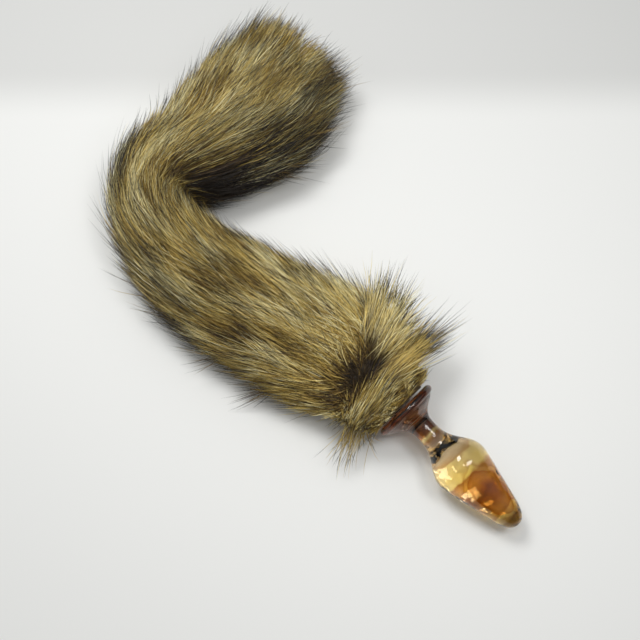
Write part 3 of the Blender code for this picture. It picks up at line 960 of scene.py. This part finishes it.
# Painted shade and light in the bulb, in place of light focused through it: a dark amber middle in a
# bright yellow ring. Its middle and half its size, along the plug, across it and upwards, and its tints
# from the middle outwards
BULB_SHADE_AND_LIGHT_PLACE = (0.0660, 0.0, 0.0)
BULB_SHADE_AND_LIGHT_SIZE = (0.0215, 0.0125, 0.08)
BULB_SHADE_AND_LIGHT_TINTS = (
    (0.00, (0.22, 0.07, 0.01)),
    (0.22, (0.50, 0.22, 0.04)),
    (0.45, (0.80, 0.48, 0.10)),
    (0.60, (0.52, 0.22, 0.03)),
    (0.66, (1.0, 0.92, 0.36)),
    (0.76, (1.0, 0.96, 0.55)),
    (0.82, (0.72, 0.50, 0.24)),
    (0.96, (1.0, 0.97, 0.90)),
)


def glass_material(colours):
    """Clear amber glass with painted shade and light: dark at the flange, the neck and the nose,
    and in the bulb a dark middle inside a bright ring.

    The tints lie on Object coordinates turned to the plug's axis. The bulb's painted shade and light is
    an ellipse round a place in the bulb, its edge moved about by noise. Slow waves break up the
    highlights.
    """
    material, shading, shader = new_material(
        "amber_glass", Roughness=0.015, IOR=1.50, Transmission_Weight=1.0, Metallic=0.0
    )
    depth = shading.node("ShaderNodeVolumeAbsorption", Color=(*colours.glass, 1.0), Density=12.0)
    shading.link(depth.outputs["Volume"], shading.tree.nodes["Material Output"].inputs["Volume"])
    place = shading.node("ShaderNodeTexCoord")
    as_texture = {"vector_type": "TEXTURE"}
    plug_way = shading.node("ShaderNodeMapping", as_texture, Vector=place.outputs["Object"])
    plug_way.inputs["Location"].default_value = tuple(plug_origin())
    plug_way.inputs["Rotation"].default_value = (0.0, plug_tilt(), math.radians(ROOT_HEADING - 180))
    waves = shading.node("ShaderNodeTexNoise", Vector=plug_way.outputs["Vector"])
    waves.inputs["Scale"].default_value = 95.0
    waves.inputs["Detail"].default_value = 1.5
    noise = waves.outputs["Fac"]
    parts = shading.node("ShaderNodeSeparateXYZ", Vector=plug_way.outputs["Vector"])
    along = shading.node("ShaderNodeMapRange", Value=parts.outputs["X"])
    along.inputs["From Max"].default_value = PLUG_LENGTH
    drifted = shading.math("MULTIPLY_ADD", noise, 0.06, along.outputs["Result"])
    # Painted shade and light along the plug, over the amber tint
    tints_and_painted_shade = shading.ramp(shading.math("SUBTRACT", drifted, 0.03), GLASS_TINTS_AND_PAINTED_SHADE_AND_LIGHT)
    # Painted shade and light in the bulb: a dark middle inside a bright ring of focused light
    bulb_shade_and_light = shading.node("ShaderNodeMapping", as_texture, Vector=plug_way.outputs["Vector"])
    bulb_shade_and_light.inputs["Location"].default_value = BULB_SHADE_AND_LIGHT_PLACE
    bulb_shade_and_light.inputs["Scale"].default_value = BULB_SHADE_AND_LIGHT_SIZE
    far = shading.node("ShaderNodeVectorMath", {"operation": "LENGTH"})
    shading.link(bulb_shade_and_light.outputs["Vector"], far.inputs[0])
    edge = shading.math("MULTIPLY_ADD", noise, 0.6, far.outputs["Value"])
    tint = shading.ramp(shading.math("SUBTRACT", edge, 0.40), BULB_SHADE_AND_LIGHT_TINTS)
    shading.link(shading.mix(1.0, tints_and_painted_shade, tint, "MULTIPLY"), shader.inputs["Base Color"])
    relief = shading.node("ShaderNodeBump", Height=waves.outputs["Fac"])
    relief.inputs["Strength"].default_value = 0.5
    relief.inputs["Distance"].default_value = 0.0020
    shading.link(relief.outputs["Normal"], shader.inputs["Normal"])
    return material


class MakePlug(bpy.types.Operator):
    """Makes the turned amber glass plug and finishes the hidden post"""

    bl_idname = "costume_tail.make_plug"
    bl_label = "Glass plug"

    def execute(self, context):
        points, faces = turned(plug_profile(), PLUG_SIDES)
        piece = new_piece("amber_plug", points, faces, glass_material(context.scene.tail_colours))
        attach(piece, "root")
        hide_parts("glass_plug")
        material, shading, shader = new_material("post_plastic", Roughness=0.5)
        place = shading.node("ShaderNodeTexCoord")
        grain = shading.node("ShaderNodeTexNoise", Vector=place.outputs["Object"])
        grain.inputs["Scale"].default_value = 700.0
        shades = ((0.3, (0.07, 0.06, 0.055)), (0.7, (0.12, 0.11, 0.10)))
        colour = shading.ramp(grain.outputs["Fac"], shades)
        shading.link(colour, shader.inputs["Base Color"])
        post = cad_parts["tail_post"]
        post.data.materials.clear()
        post.data.materials.append(material)
        return {"FINISHED"}


def area_light(name, place, target, size, power):
    """A square lamp at a place, turned to face the target."""
    light = bpy.data.lights.new(name, "AREA")
    light.shape = "SQUARE"
    light.size = size
    light.energy = power
    obj = bpy.data.objects.new(name, light)
    bpy.context.scene.collection.objects.link(obj)
    away = Vector(place) - Vector(target)
    obj.location = place
    obj.rotation_euler = away.to_track_quat("Z", "Y").to_euler()


def studio_world():
    """Sky that is bright overhead and behind, and dim low down on the near side.

    The brightness comes from the direction: a rise with its height, less where it points towards
    the near side.
    """
    world = bpy.data.worlds.new("studio")
    world.use_nodes = True
    shading = Shading(world.node_tree)
    place = shading.node("ShaderNodeTexCoord")
    parts = shading.node("ShaderNodeSeparateXYZ", Vector=place.outputs["Generated"])
    height = shading.smooth_range(parts.outputs["Z"], 0.05, 0.85, 0.30, 2.88)
    behind = shading.smooth_range(parts.outputs["Y"], -0.75, 0.10, 0.35, 1.0)
    sky = world.node_tree.nodes["Background"]
    sky.inputs["Color"].default_value = (0.22, 0.22, 0.22, 1.0)
    shading.link(shading.math("MULTIPLY", height, behind), sky.inputs["Strength"])
    return world


class MakeStudio(bpy.types.Operator):
    """Makes the pale table, a little darker at the back by painted shade, with the soft light and the
    camera
    """

    bl_idname = "costume_tail.make_studio"
    bl_label = "Studio"

    def execute(self, context):
        scene = context.scene
        studio = scene.studio_sizes
        root = plug_origin()
        target = np.array((root[0] - 0.0483, root[1] + 0.0578, 0.0))
        half = TABLE_SIZE / 2
        corners = np.array(((-1, -1, 0), (1, -1, 0), (1, 1, 0), (-1, 1, 0))) * half
        material, shading, shader = new_material("table", Roughness=0.6)
        place = shading.node("ShaderNodeTexCoord")
        parts = shading.node("ShaderNodeSeparateXYZ", Vector=place.outputs["Object"])
        # Painted shade: the table is a little darker behind this line, in place of the shade where a
        # backdrop would curve up
        back = shading.smooth_range(parts.outputs["Y"], target[1] + 0.138, target[1] + 0.178)
        pale = tuple(studio.floor)
        colour = shading.mix(back, pale, tuple(0.80 * c for c in pale))
        shading.link(colour, shader.inputs["Base Color"])
        floor = new_piece("table", corners, np.array([(0, 1, 2), (0, 2, 3)]), material)
        scene.world = studio_world()
        area_light("key", (-0.25, 0.30, 0.75), target, 0.26, 3.5)
        area_light("fill", (0.30, 0.0, 0.75), target, 0.20, 1.5)
        area_light("strip", root + (0.02, -0.01, 0.26), root + (0.034, -0.034, 0.0), 0.030, 0.06)
        camera = bpy.data.objects.new("camera", bpy.data.cameras.new("camera"))
        scene.collection.objects.link(camera)
        camera.data.lens = studio.lens
        camera.data.sensor_width = 36.0
        camera.data.clip_start = 0.01
        up = studio.elevation
        camera.location = target + studio.distance * np.array((0.0, -math.cos(up), math.sin(up)))
        camera.rotation_euler = (math.pi / 2 - up, 0.0, 0.0)
        scene.camera = camera
        scene.view_settings.view_transform = "Standard"
        return {"FINISHED"}


class TailPanel(bpy.types.Panel):
    """Lists the tail's makers in the sidebar"""

    bl_idname = "VIEW3D_PT_costume_tail"
    bl_label = "Costume Tail"
    bl_space_type = "VIEW_3D"
    bl_region_type = "UI"
    bl_category = "Costume Tail"

    def draw(self, context):
        for operator in OPERATORS:
            self.layout.operator(operator.bl_idname)


OPERATORS = (MakeUnderfur, MakePile, MakeGuardHairs, MakePlug, MakeStudio)
CLASSES = (TailSizes, TailColours, StudioSizes, *OPERATORS, TailPanel)


def register():
    for cls in CLASSES:
        bpy.utils.register_class(cls)
    bpy.types.Scene.tail_sizes = bpy.props.PointerProperty(type=TailSizes)
    bpy.types.Scene.tail_colours = bpy.props.PointerProperty(type=TailColours)
    bpy.types.Scene.studio_sizes = bpy.props.PointerProperty(type=StudioSizes)


def unregister():
    del bpy.types.Scene.studio_sizes
    del bpy.types.Scene.tail_colours
    del bpy.types.Scene.tail_sizes
    for cls in reversed(CLASSES):
        bpy.utils.unregister_class(cls)


def main():
    register()
    bpy.ops.costume_tail.make_underfur()
    bpy.ops.costume_tail.make_pile()
    bpy.ops.costume_tail.make_guard_hairs()
    bpy.ops.costume_tail.make_plug()
    bpy.ops.costume_tail.make_studio()


if __name__ == "__main__":
    main()
